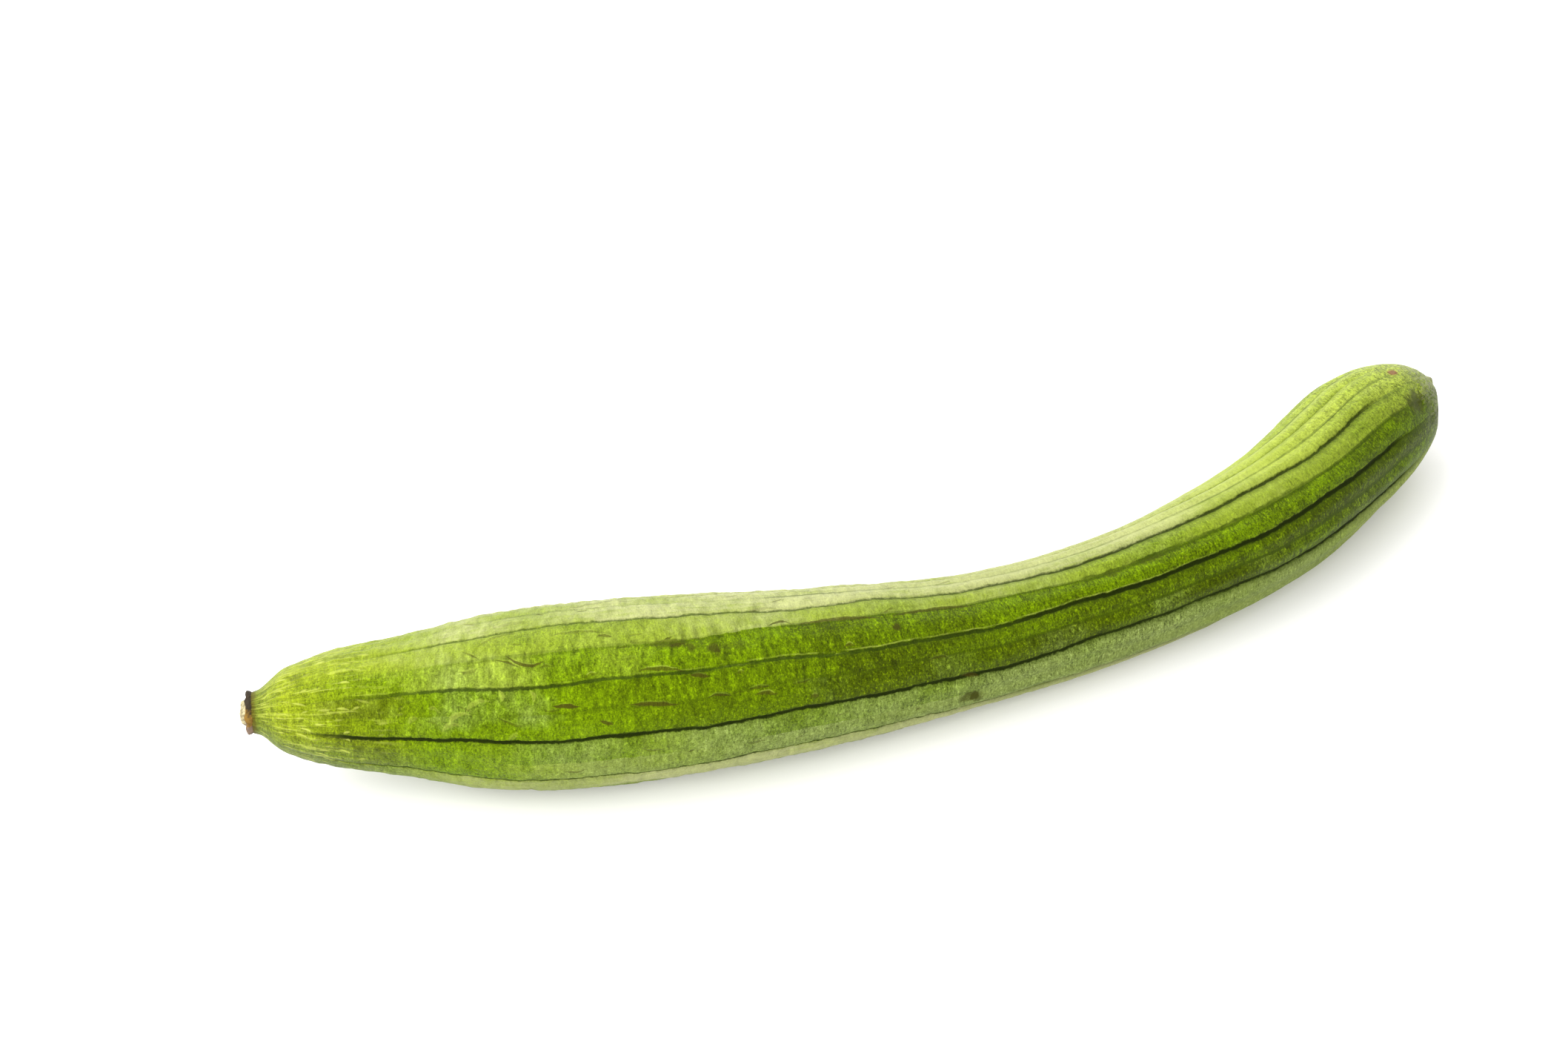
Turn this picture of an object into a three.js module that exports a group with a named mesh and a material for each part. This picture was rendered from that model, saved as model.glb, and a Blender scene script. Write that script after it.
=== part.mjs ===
// A long green gourd with dark length-wise veins, cut from its vine and lying on its side.
//
// Units are millimetres, +Z is up and the ground is z = 0. The gourd lies along X: its cut
// stalk is at -X, and its blossom end is at +X, bent round towards +Y.
//
// Two numbers name a place on the skin. A station is the distance along the middle line
// from the stalk end. A turn is the angle round the section, in degrees: 0 is the side of -Y,
// 90 the top, 180 the side of +Y and 270 the underside.

import * as THREE from 'three';

// ---------------------------------------------------------------- driving dimensions

const FRUIT_LENGTH = 473.5; // along the middle line, without the blossom scar
const BELLY_RADIUS = 31.2; // the thickest place, near the stalk
const STALK_END = { x: -208.7, y: -81.9 }; // where the middle line starts, in plan

// How the gourd bends, as [station, heading in degrees from +X towards +Y].
const HEADINGS = [
  [0, 5.5], [60, 3.5], [120, 9], [180, 16.5], [240, 21],
  [300, 28], [360, 39], [410, 53], [450, 43], [480, 42],
];

// How thick it is, as [station, radius]: short neck, belly, slim waist, thicker tail.
const GIRTHS = [
  [0, 6.9], [3, 8], [9, 13], [16, 16.3], [28, 19.7], [50, 23.6], [80, 29.4],
  [110, BELLY_RADIUS], [150, 30.1], [200, 26.7], [250, 22.7], [300, 21.7], [360, 22.9], [430, 24],
];

const NECK_LENGTH = 30; // the part that narrows into the stalk
const CAP_LENGTH = 46.5; // the rounded blossom end
const LYING_FROM = 95; // the neck hangs clear of the ground before this station
const LYING_FULLY = 135; // and all of the skin's underside is on it after this one
const TIP_LIFT = 2.5; // how far the blossom end rises off the ground
const TIP_LIFT_LENGTH = 70;
const GROUND_PRESS = 0.8; // how far the underside is pressed flat

// The ten dark veins lie in narrow grooves, with a softer valley half way between each two.
const VEIN_TURNS = [14.5, 50.5, 91.5, 124, 157, 188, 219, 250, 294, 340];
const VEIN_SLIPS = [0, 0, 0, 0, 0, 0, 0, -5, -10, -15]; // how far each drops past the belly
const SLIP_FROM = 180;
const SLIP_TO = 340;
const TAIL_TWIST = -20; // all the veins turn together along the tail
const TWIST_FROM = 285;
const TWIST_TO = 470;
const GROOVE_DEPTH = 0.7;
const GROOVE_HALF_WIDTH = 1.3;
const LIP_HEIGHT = 0.15; // the raised edge of a groove
const RIDGE_BELLY = 0.2; // half the height of the low ridges between veins and valleys
const RIDGE_TAIL = 0.45;

// The blossom scar is a low dished collar, as [radius, height over the end of the cap].
const SCAR_PROFILE = [[5, -0.4], [4.9, 1.1], [4, 1.6], [3, 1.3], [1.9, 0.4]];
const SCAR_CENTRE = 0.2;

// The stalk is a dry stub: a collar, then the cut face with a corky core that bulges out.
// Its profile is [radius, distance out from the fruit's end].
const STALK_GAP = 0.3;
const STALK_PROFILE = [
  [6.7, STALK_GAP], [7.2, 1], [7.2, 1.7], [6.3, 2.1], [4.9, 1.9], [4.3, 2.7], [3, 3.8],
];
const STALK_TIP = 4.3;
const STALK_SIDES = 30;

const NECK_RINGS = 9;
const BODY_RINGS = 50;
const CAP_RINGS = 9;
const RIDGE_FRACTIONS = [0.26, 0.5, 0.74]; // columns across a panel, between its two lips

// ---------------------------------------------------------------- small helpers

const radians = THREE.MathUtils.degToRad;
const { clamp, lerp, smoothstep } = THREE.MathUtils;

// A smooth curve through [position, value] pairs, level beyond its ends.
function smoothThrough(pairs, position) {
  const last = pairs.length - 1;
  const at = clamp(position, pairs[0][0], pairs[last][0]);
  let i = 0;
  while (i < last - 1 && at >= pairs[i + 1][0]) i += 1;
  const slope = (k) => {
    const before = pairs[Math.max(k - 1, 0)];
    const after = pairs[Math.min(k + 1, last)];
    return (after[1] - before[1]) / (after[0] - before[0]);
  };
  const span = pairs[i + 1][0] - pairs[i][0];
  const t = (at - pairs[i][0]) / span;
  const towardsNext = t * t * (3 - 2 * t);
  const leaving = t * (1 - t) * (1 - t) * span * slope(i);
  const arriving = t * t * (t - 1) * span * slope(i + 1);
  return lerp(pairs[i][1], pairs[i + 1][1], towardsNext) + leaving + arriving;
}

// A closed skin over rings of equal point counts, with a point at each end.
function skinOverRings(rings, startPoint, endPoint) {
  const sides = rings[0].length;
  const points = [startPoint, ...rings.flat(), endPoint];
  const at = (ring, side) => 1 + ring * sides + (side % sides);
  const end = points.length - 1;
  const faces = [];
  for (let side = 0; side < sides; side += 1) {
    faces.push(0, at(0, side), at(0, side + 1));
    for (let ring = 0; ring < rings.length - 1; ring += 1) {
      const a = at(ring, side);
      const b = at(ring + 1, side);
      const c = at(ring + 1, side + 1);
      const d = at(ring, side + 1);
      faces.push(a, b, c, a, c, d);
    }
    faces.push(end, at(rings.length - 1, side + 1), at(rings.length - 1, side));
  }
  const geometry = new THREE.BufferGeometry();
  geometry.setAttribute('position', new THREE.Float32BufferAttribute(
    points.flatMap((point) => [point.x, point.y, point.z]), 3));
  geometry.setIndex(faces);
  geometry.computeVertexNormals();
  return geometry;
}

// ---------------------------------------------------------------- the middle line

// The plan of the middle line, one point for each millimetre of its length.
function walkMiddleLine() {
  const walked = [{ ...STALK_END }];
  for (let station = 0.5; station < FRUIT_LENGTH + 5; station += 1) {
    const heading = radians(smoothThrough(HEADINGS, station));
    const { x, y } = walked.at(-1);
    walked.push({ x: x + Math.cos(heading), y: y + Math.sin(heading) });
  }
  return walked;
}

const middleLine = walkMiddleLine();

function bodyRadius(station) {
  return smoothThrough(GIRTHS, station);
}

function middleHeight(station) {
  const lying = smoothstep(station, LYING_FROM, LYING_FULLY);
  const raised = clamp((station - FRUIT_LENGTH) / TIP_LIFT_LENGTH + 1, 0, 1);
  return lerp(BELLY_RADIUS, bodyRadius(station), lying) + TIP_LIFT * raised ** 2 - GROUND_PRESS;
}

// Where the middle line is at a station, and which way it runs.
function middleAt(station) {
  const whole = clamp(Math.floor(station), 0, middleLine.length - 2);
  const part = station - whole;
  const from = middleLine[whole];
  const to = middleLine[whole + 1];
  return {
    centre: new THREE.Vector3(lerp(from.x, to.x, part), lerp(from.y, to.y, part), middleHeight(station)),
    heading: radians(smoothThrough(HEADINGS, station)),
  };
}

// A point off the middle line, straight out at a turn. Nothing goes below the ground.
function pointAt(station, turn, radius) {
  const { centre, heading } = middleAt(station);
  const sideways = -Math.cos(radians(turn)) * radius;
  return new THREE.Vector3(
    centre.x - Math.sin(heading) * sideways,
    centre.y + Math.cos(heading) * sideways,
    Math.max(centre.z + Math.sin(radians(turn)) * radius, 0),
  );
}

// ---------------------------------------------------------------- the fruit

function veinTurn(vein, station) {
  const one = vein % VEIN_TURNS.length;
  const slip = VEIN_SLIPS[one] * smoothstep(station, SLIP_FROM, SLIP_TO);
  const twist = TAIL_TWIST * smoothstep(station, TWIST_FROM, TWIST_TO);
  const wholeTurns = 360 * Math.floor(vein / VEIN_TURNS.length);
  return VEIN_TURNS[one] + wholeTurns + slip + twist;
}

// Grooves and ridges fade out at the neck and at the blossom end.
function reliefStrength(station, radius) {
  return smoothstep(station, 8, 45) * smoothstep(radius, 5, 16);
}

function ridgeHeight(station, fraction) {
  const height = lerp(RIDGE_BELLY, RIDGE_TAIL, smoothstep(station, 150, 300));
  return -height * Math.cos(4 * Math.PI * fraction);
}

// One ring of skin points: each panel has its vein's groove, the groove's lip, the columns
// of its two low ridges with the valley between them, and the lip of the next groove.
function fruitRing(station, radius) {
  const strength = reliefStrength(station, radius);
  const ring = [];
  VEIN_TURNS.forEach((_, vein) => {
    const from = veinTurn(vein, station);
    const width = veinTurn(vein + 1, station) - from;
    const lip = Math.min(GROOVE_HALF_WIDTH / (radius * radians(width)), 0.18);
    [0, lip, ...RIDGE_FRACTIONS, 1 - lip].forEach((fraction) => {
      const isGroove = fraction === 0;
      const isLip = fraction === lip || fraction === 1 - lip;
      const groove = isGroove ? -GROOVE_DEPTH : 0;
      const raised = isLip ? LIP_HEIGHT : 0;
      const relief = strength * (groove + raised + ridgeHeight(station, fraction));
      ring.push(pointAt(station, from + width * fraction, radius + relief));
    });
  });
  return ring;
}

function makeFruit() {
  const capStart = FRUIT_LENGTH - CAP_LENGTH;
  const rings = [];
  for (let i = 0; i < NECK_RINGS; i += 1) {
    const station = NECK_LENGTH * (i / NECK_RINGS) ** 1.3;
    rings.push(fruitRing(station, bodyRadius(station)));
  }
  for (let i = 0; i < BODY_RINGS; i += 1) {
    const station = lerp(NECK_LENGTH, capStart, i / BODY_RINGS);
    rings.push(fruitRing(station, bodyRadius(station)));
  }
  for (let i = 0; i < CAP_RINGS; i += 1) {
    const angle = (Math.PI / 2) * (i / CAP_RINGS);
    const station = capStart + CAP_LENGTH * Math.sin(angle);
    rings.push(fruitRing(station, bodyRadius(station) * Math.cos(angle)));
  }
  for (const [radius, out] of SCAR_PROFILE) rings.push(fruitRing(FRUIT_LENGTH + out, radius));
  return skinOverRings(rings, middleAt(0).centre, middleAt(FRUIT_LENGTH + SCAR_CENTRE).centre);
}

// ---------------------------------------------------------------- the stalk

function makeStalk() {
  const { centre, heading } = middleAt(0);
  const outwards = new THREE.Vector3(-Math.cos(heading), -Math.sin(heading), 0);
  const place = (turn, radius, out) => {
    const uneven = 1 + 0.035 * Math.sin(3 * radians(turn) + 1) + 0.02 * Math.sin(7 * radians(turn));
    const point = pointAt(0, turn, radius * uneven);
    return point.addScaledVector(outwards, out);
  };
  const rings = STALK_PROFILE.map(([radius, out]) => {
    const sides = Array.from({ length: STALK_SIDES }, (_, side) => side);
    return sides.map((side) => place((360 * side) / STALK_SIDES, radius, out));
  });
  const inner = centre.clone().addScaledVector(outwards, STALK_GAP);
  const outer = centre.clone().addScaledVector(outwards, STALK_TIP);
  return skinOverRings(rings.reverse(), outer, inner);
}

// ---------------------------------------------------------------- the object

const greenSkin = new THREE.MeshStandardMaterial({ color: 0x84a61c, roughness: 0.5, metalness: 0 });
const dryStalk = new THREE.MeshStandardMaterial({ color: 0x8a7648, roughness: 0.9, metalness: 0 });

function piece(name, geometry, material) {
  const mesh = new THREE.Mesh(geometry, material);
  mesh.name = name;
  return mesh;
}

const gourd = new THREE.Group();
gourd.add(piece('fruit', makeFruit(), greenSkin));
gourd.add(piece('stalk_stub', makeStalk(), dryStalk));

export default gourd;
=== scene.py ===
"""A long green gourd with dark length-wise veins, lying on a white studio floor."""

import math

import bpy
import numpy as np
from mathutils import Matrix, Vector, noise


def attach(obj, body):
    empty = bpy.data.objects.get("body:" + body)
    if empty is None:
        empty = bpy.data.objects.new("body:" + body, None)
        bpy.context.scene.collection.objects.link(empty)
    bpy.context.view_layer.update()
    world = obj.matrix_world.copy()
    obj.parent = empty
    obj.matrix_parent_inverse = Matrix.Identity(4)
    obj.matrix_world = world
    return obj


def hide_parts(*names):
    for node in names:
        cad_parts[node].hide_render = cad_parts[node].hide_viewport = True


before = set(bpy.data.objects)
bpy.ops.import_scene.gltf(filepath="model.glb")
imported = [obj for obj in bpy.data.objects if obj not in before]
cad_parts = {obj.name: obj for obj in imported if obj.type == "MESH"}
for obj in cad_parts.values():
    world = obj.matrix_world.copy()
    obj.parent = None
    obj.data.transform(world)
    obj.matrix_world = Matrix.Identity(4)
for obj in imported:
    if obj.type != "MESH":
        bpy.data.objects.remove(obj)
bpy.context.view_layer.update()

# The gourd's sizes are in millimetres, and MM turns them into the frame's metres. The studio's
# are in metres.
MM = 0.001

# ---------------------------------------- the gourd's dimensions
# A station is a distance along the middle line from the stalk end. A turn is the angle round
# the section: 0 is the side of -Y, 90 the top.

# The form, with the same values as in the part's own source. The middle line's headings in
# degrees and the radii are (station, value) pairs.
FRUIT_LENGTH = 473.5
BELLY_RADIUS = 31.2
STALK_END = (-208.7, -81.9)
HEADINGS = [
    (0, 5.5), (60, 3.5), (120, 9), (180, 16.5), (240, 21),
    (300, 28), (360, 39), (410, 53), (450, 43), (480, 42),
]
GIRTHS = [
    (0, 6.9), (3, 8), (9, 13), (16, 16.3), (28, 19.7), (50, 23.6), (80, 29.4), (110, BELLY_RADIUS),
    (150, 30.1), (200, 26.7), (250, 22.7), (300, 21.7), (360, 22.9), (430, 24),
]
NECK_LENGTH = 30.0
CAP_LENGTH = 46.5
LYING_FROM, LYING_FULLY = 95.0, 135.0
TIP_LIFT, TIP_LIFT_LENGTH = 2.5, 70.0
GROUND_PRESS = 0.8

VEIN_TURNS = [14.5, 50.5, 91.5, 124, 157, 188, 219, 250, 294, 340]
VEIN_SLIPS = [0, 0, 0, 0, 0, 0, 0, -5, -10, -15]
SLIP_FROM, SLIP_TO = 180.0, 340.0
TAIL_TWIST = -20.0
TWIST_FROM, TWIST_TO = 285.0, 470.0

# The skin's finer form, which the solid leaves out or has in a simpler shape. First how the
# veins wander from side to side, in waves of (length, millimetres).
WANDERINGS = [(118, 0.4), (53, 0.35), (21, 0.12), (9.5, 0.06), (5.3, 0.05)]
# How far each valley lies above the middle of its panel past the belly, as a share of the panel.
VALLEY_SHIFTS = [0.08, 0.13, 0, 0, 0, 0, 0, 0, 0, 0]
# The side of the blossom end is worn flat past this X.
FLAT_SIDE, FLAT_ROUNDING = 209.8, 1.0
RIDGE_BELLY, RIDGE_TAIL = 0.12, 0.4
GROOVE_DEPTH = 0.35
GROOVE_WIDTH = 0.5
LIP_HEIGHT = 0.14
LIP_PLACE = 1.5
LIP_WIDTH = 0.7
LIP_BREAK_SIZE = 4.0
CALM_AT_TIP = 0.85
FOLD_HEIGHT, FOLD_WIDTH = 0.7, 0.8
TROUGH_DEPTH, TROUGH_PLACE, TROUGH_WIDTH = 0.6, 1.9, 1.0  # beside a fold, its depth as a share
SWELL_SIZE, SWELL_HEIGHT = 30.0, 0.3
BUMP_SIZE, BUMP_HEIGHT, BELLY_BUMPS = 9.0, 0.12, 0.22
WRINKLE_SIZE, WRINKLE_HEIGHT, BELLY_WRINKLES = 5.0, 0.08, 0.27
FURROW_HEIGHT, FURROW_WAVE = 0.16, 26  # on the neck, with this many degrees of wave to 1 mm
ROUGH_EDGE_SIZE, ROUGH_EDGE_HEIGHT = 2.2, 0.35
# Stations between which the relief changes, and then radii between which it grows at the ends.
RELIEF_STARTS, WANDER_STARTS, FURROWS_END = (8, 45), (5, 60), (10, 40)
RIDGES_RISE, BELLY_FADES, VEINS_CHANGE = (150, 300), (170, 330), (180, 320)
VALLEYS_SHIFT, VALLEYS_RETURN, CALM_TIP = (135, 180), (250, 300), (420, 452)
VEINS_FORM, WANDER_FORMS, SKIN_FORMS = (3, 12), (4, 18), (6, 16)
# The blossom scar's section as (radius, distance past the fruit's length).
SCAR_PROFILE = [(5, -0.4), (5.1, 0.3), (4.9, 1.1), (4, 1.6), (3, 1.3), (1.9, 0.4)]
SCAR_CENTRE = 0.2
DIMPLE_RADIUS = 8.5
DIMPLE_WIDTH = 2.2
DIMPLE_DEPTH = 0.7
# Small dents as (station, turn, size, depth).
DENTS = [(452, 51, 4.2, 1.1), (455, 30, 3.5, 0.5), (95.0, 63.5, 2.5, 0.5)]

NECK_RINGS = 34
NECK_CROWDING = 1.3  # above 1, the rings lie closer together near the stalk
BODY_RINGS = 370
CAP_RINGS = 40
# Columns close to a vein, as (distance from it, the largest share of the panel that may be).
NEAR_VEIN = [(0.35, 0.03), (0.75, 0.065), (1.2, 0.1), (1.8, 0.15)]
ACROSS_PANEL = 12

# Each vein, from the one at 14.5 degrees round over the top: its width on the belly and in the
# tail, then how dark it is on the belly and in the tail.
VEINS = [
    (1.4, 1.25, 1.0, 0.95), (0.9, 1.6, 0.6, 1.0), (0.6, 1.1, 0.45, 0.8), (0.5, 0.55, 0.3, 0.25),
    (0.8, 0.6, 0.6, 0.2), (0.9, 0.9, 0.8, 0.6), (1.0, 1.0, 0.9, 0.9), (0.8, 0.9, 0.7, 0.8),
    (0.7, 0.7, 0.5, 0.6), (0.65, 0.6, 0.7, 0.8),
]
# How strong the highlight painted on the lip above each vein is.
VEIN_LIPS = [0.1, 1.0, 0.5, 0.3, 0.4, 0.4, 0.4, 0.4, 0.4, 0.2]  # how pale the skin above each is

# How pale each half panel is at five stations, in pairs: from a vein to the soft line half way,
# and from there to the next vein. -0.5 is deep green, 0 the belly's green, 1 cream. The levels are
# partly the skin's own colour and partly painted light: paler on the top panels as a painted sheen
# of light from above, darker low on the front of the tail as painted shade, and lighter low down
# near the tip as painted light from the floor.
TONE_STATIONS = (60, 110, 200, 300, 430)
TONES = [
    (0.1, 0.0, -0.45, -0.5, -0.3), (0.05, 0.0, -0.35, -0.3, -0.65),
    (0.45, 0.22, -0.25, -0.1, -0.25), (0.5, 0.5, 0.65, 0.45, 0.5),
    (0.6, 0.8, 0.95, 0.9, 0.7), (0.6, 0.75, 0.95, 1.0, 0.85),
    (0.7, 0.85, 0.95, 0.95, 0.9), (0.7, 0.8, 0.85, 0.9, 0.8),
    (0.4, 0.5, 0.6, 0.6, 0.6), (0.3, 0.4, 0.5, 0.5, 0.4),
    (0.2, 0.1, 0.1, 0.1, -0.1), (0.2, 0.2, 0.1, 0.1, -0.1),
    (0.3, 0.3, 0.2, 0.2, 0.0), (0.3, 0.2, 0.2, 0.2, 0.0),
    (0.4, 0.5, 0.5, 0.5, 0.3), (0.3, 0.4, 0.4, 0.4, 0.2),
    (0.4, 0.6, 0.6, 0.6, 0.5), (0.5, 0.85, 0.95, 0.9, 0.7),
    (0.1, 0.35, 0.2, 0.3, 0.8), (0.0, 0.2, -0.05, 0.0, 0.7),
]
# How much grey each half panel has at the same stations: the skin's bloom, and low on the front
# and underneath partly a painted reflection of the floor.
BLOOMS = [
    (0.0, -0.2, 0.0, 0.1, 0.0), (0.0, -0.25, -0.4, -0.3, -0.6),
    (0.0, -0.3, -0.5, -0.4, -0.6), (0.0, 0.0, 0.2, 0.2, -0.3),
    (0.1, 0.1, 0.1, 0.1, -0.4), (0.1, 0.1, 0.1, 0.1, -0.4),
    (0.2, 0.2, 0.2, 0.2, -0.2), (0.2, 0.2, 0.2, 0.2, 0.0),
    (0.2, 0.2, 0.2, 0.2, 0.1), (0.1, 0.1, 0.1, 0.1, 0.1),
    (0.0, 0.0, 0.0, 0.0, 0.0), (0.0, 0.0, 0.0, 0.0, 0.0),
    (0.1, 0.1, 0.1, 0.1, 0.1), (0.1, 0.1, 0.1, 0.1, 0.1),
    (0.3, 0.3, 0.3, 0.3, 0.3), (0.3, 0.3, 0.3, 0.3, 0.3),
    (0.4, 0.5, 0.5, 0.5, 0.5), (0.4, 0.3, 0.3, 0.3, 0.4),
    (0.0, 0.5, 0.9, 1.0, 0.4), (-0.2, 0.4, 0.5, 0.9, 0.5),
]

# Dry slits, each from one (station, turn) to another, then its bend, its half width, how dark
# it is and how strong the highlight painted on its lip is.
SLITS = [
    (86.9, 66.5, 95.7, 62, -1.3, 0.3, 0.8, 0.5), (71.2, 62.5, 75.3, 63.5, -0.3, 0.25, 0.4, 0.7),
    (110.7, 54, 113.8, 55, 0.3, 0.2, 0.3, 0.9), (102.9, 86, 115.2, 84.5, 1.0, 0.3, 0.35, 0.7),
    (116.5, 80, 119.9, 78.5, 0.2, 0.22, 0.6, 0.6), (129.1, 55, 140, 53, 0.5, 0.4, 0.7, 0.9),
    (100.2, 37, 106.7, 36, 0.0, 0.45, 0.9, 0.2), (125.4, 34, 137, 31.5, 0.2, 0.4, 0.8, 0.3),
    (114.1, 25, 117.2, 23, 0.0, 0.35, 0.8, 0.2), (102.9, -11.5, 107, -11.5, -0.4, 0.2, 0.6, 0.4),
    (77.3, 85, 87.2, 91, 0.8, 0.2, 0.3, 0.7), (82.5, 99, 92.7, 100, 0.5, 0.5, 0.2, 0.5),
    (144.1, 48.5, 148.9, 46.5, 0.1, 0.4, 0.8, 0.3),
    (158.8, 46.5, 160.8, 46.5, 0.2, 0.25, 0.4, 0.8),
    (164.2, 31.5, 169.7, 30, 0.3, 0.28, 0.7, 0.8), (181.6, 24, 183.7, 23.5, 0.1, 0.25, 0.6, 0.5),
    (186.4, 77.5, 208.2, 76, 0.6, 0.35, 0.7, 0.4), (218.4, 76, 241.9, 76, 0.5, 0.3, 0.6, 0.5),
    (196.3, 55.5, 199.3, 55.5, 0.4, 0.3, 0.6, 1.0), (235.5, 15.5, 240.2, 13, 0.3, 0.35, 0.7, 0.1),
    (168, 92.5, 176, 94.5, 0.8, 0.3, 0.3, 0.2), (108.4, 112, 124.7, 118.5, 0.4, 0.25, 0.3, 0.1),
]
# Folds that stand up from the skin of the belly, given in the same way, except that the last two
# are how strong the highlight painted on the fold is and how dark the shade painted beside it is.
FOLDS = [
    (85.2, 17.5, 87.6, 21.5, 0.0, 0.5, 0.4, 1.0), (65.8, 31.5, 71.9, 37, 1.0, 0.45, 0.6, 0.7),
    (83.3, 49, 84, 42.5, 0.4, 0.6, 0.6, 0.6), (93.4, 47.5, 93.9, 41.5, 0.4, 0.5, 0.6, 0.6),
    (64, 26, 69, 29.5, 0.8, 0.35, 0.5, 0.6), (72, 40, 78, 45, 0.9, 0.4, 0.5, 0.5),
    (60, 41, 63.5, 38, 0.5, 0.4, 0.4, 0.6), (53, 30, 55.5, 33.5, 0.3, 0.45, 0.4, 0.8),
]

# Bruises as (station, turn, half length, half width, strength). The three past station 435 are
# painted shade round the dents by the blossom end.
BRUISES_AND_TIP_SHADE = [
    (152.4, 64, 2.3, 1.9, 0.85), (153.5, 60.5, 0.9, 1.6, 0.6), (145.6, 66, 1.5, 1.9, 0.7),
    (138, 70, 6.0, 1.6, 0.6), (141.5, 68, 3.0, 1.0, 0.5), (160, 65, 5.0, 1.5, 0.3),
    (215.7, 64, 1.5, 1.4, 1.0), (237.5, -9.5, 3.8, 2.2, 0.75), (241, -11.5, 3.2, 2.6, 0.65),
    (15, 86, 3.0, 1.5, 0.4), (324.4, 56, 1.2, 1.0, 0.7), (349.5, 30.5, 1.0, 0.8, 0.4),
    (128, 73, 2.0, 1.2, 0.4), (449, 52, 6.0, 5.5, 0.75), (437, 51, 6.0, 4.0, 0.3),
    (457, 42, 4.0, 5.0, 0.45), (297, 69, 4.0, 1.6, 0.3), (313, 67, 5.0, 1.4, 0.35),
    (305, 73, 3.0, 1.2, 0.25),
]
# A dry reddish scab near the tip, as (station, turn, half length, half width).
SCAB = (451.3, 90.9, 2.6, 1.9)

# The lip of a slit gets a painted highlight, and the lip of a fold painted shade.
MARK_LIP_PLACE = 0.45  # how far the pale lip lies from the edge of a slit or fold
TONE_DRIFT, BLOOM_DRIFT = 0.1, 0.15  # how far each half panel strays from its levels
DRIFT_LENGTHS = (40, 110)

SEED = 7
draw = np.random.default_rng(SEED)


# ---------------------------------------- shapes by formula

def smoothstep(value, low, high):
    t = np.clip((value - low) / (high - low), 0, 1)
    return t * t * (3 - 2 * t)


def mix(a, b, share):
    return a + (b - a) * share


def smooth_through(pairs, position):
    """A smooth curve through (position, value) pairs, level beyond its ends."""
    places, values = np.array(pairs, float).T
    at = np.clip(position, places[0], places[-1])
    i = np.clip(np.searchsorted(places, at, side="right") - 1, 0, len(places) - 2)
    before = np.maximum(np.arange(len(places)) - 1, 0)
    after = np.minimum(np.arange(len(places)) + 1, len(places) - 1)
    slope = (values[after] - values[before]) / (places[after] - places[before])
    span = places[i + 1] - places[i]
    t = (at - places[i]) / span
    level = mix(values[i], values[i + 1], t * t * (3 - 2 * t))
    leaving = t * (1 - t) ** 2 * span * slope[i]
    arriving = t * t * (t - 1) * span * slope[i + 1]
    return level + leaving + arriving


def body_radius(station):
    return smooth_through(GIRTHS, station)


def skin_radius(station):
    """The radius at a station, with the rounded blossom end."""
    across_cap = np.clip((station - FRUIT_LENGTH) / CAP_LENGTH + 1, 0, 1)
    return body_radius(station) * np.sqrt(1 - across_cap**2)


def arc_at(station, turn):
    """The arc from the underside round to a turn, in millimetres of skin."""
    return math.radians((turn + 90) % 360) * float(skin_radius(station))


def middle_height(station):
    lying = smoothstep(station, LYING_FROM, LYING_FULLY)
    raised = np.clip((station - FRUIT_LENGTH) / TIP_LIFT_LENGTH + 1, 0, 1)
    return mix(BELLY_RADIUS, body_radius(station), lying) + TIP_LIFT * raised ** 2 - GROUND_PRESS


def walk_middle_line():
    """The plan of the middle line, one point for each millimetre of its length."""
    heading = np.radians(smooth_through(HEADINGS, np.arange(0.5, FRUIT_LENGTH + 5)))
    x = STALK_END[0] + np.concatenate([[0], np.cumsum(np.cos(heading))])
    y = STALK_END[1] + np.concatenate([[0], np.cumsum(np.sin(heading))])
    return x, y


MIDDLE_X, MIDDLE_Y = walk_middle_line()


def points_at(station, turn, radius):
    """Points straight out from the middle line, in millimetres. None is below the ground."""
    steps = np.arange(len(MIDDLE_X))
    heading = np.radians(smooth_through(HEADINGS, station))
    sideways = -np.cos(np.radians(turn)) * radius
    x = np.interp(station, steps, MIDDLE_X) - np.sin(heading) * sideways
    y = np.interp(station, steps, MIDDLE_Y) + np.cos(heading) * sideways
    z = middle_height(station) + np.sin(np.radians(turn)) * radius
    return np.stack([x, y, np.maximum(z, 0)], axis=-1)


def lumps(places, size, seed):
    """Smooth noise from -1 to 1 at an array of places, with bumps about as wide as size."""
    shift = Vector((seed * 17.3, seed * 5.1, seed * 9.7))
    flat = places.reshape(-1, 3) / size
    values = [noise.noise(Vector(place) + shift) for place in flat]
    return np.array(values).reshape(places.shape[:-1])


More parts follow.
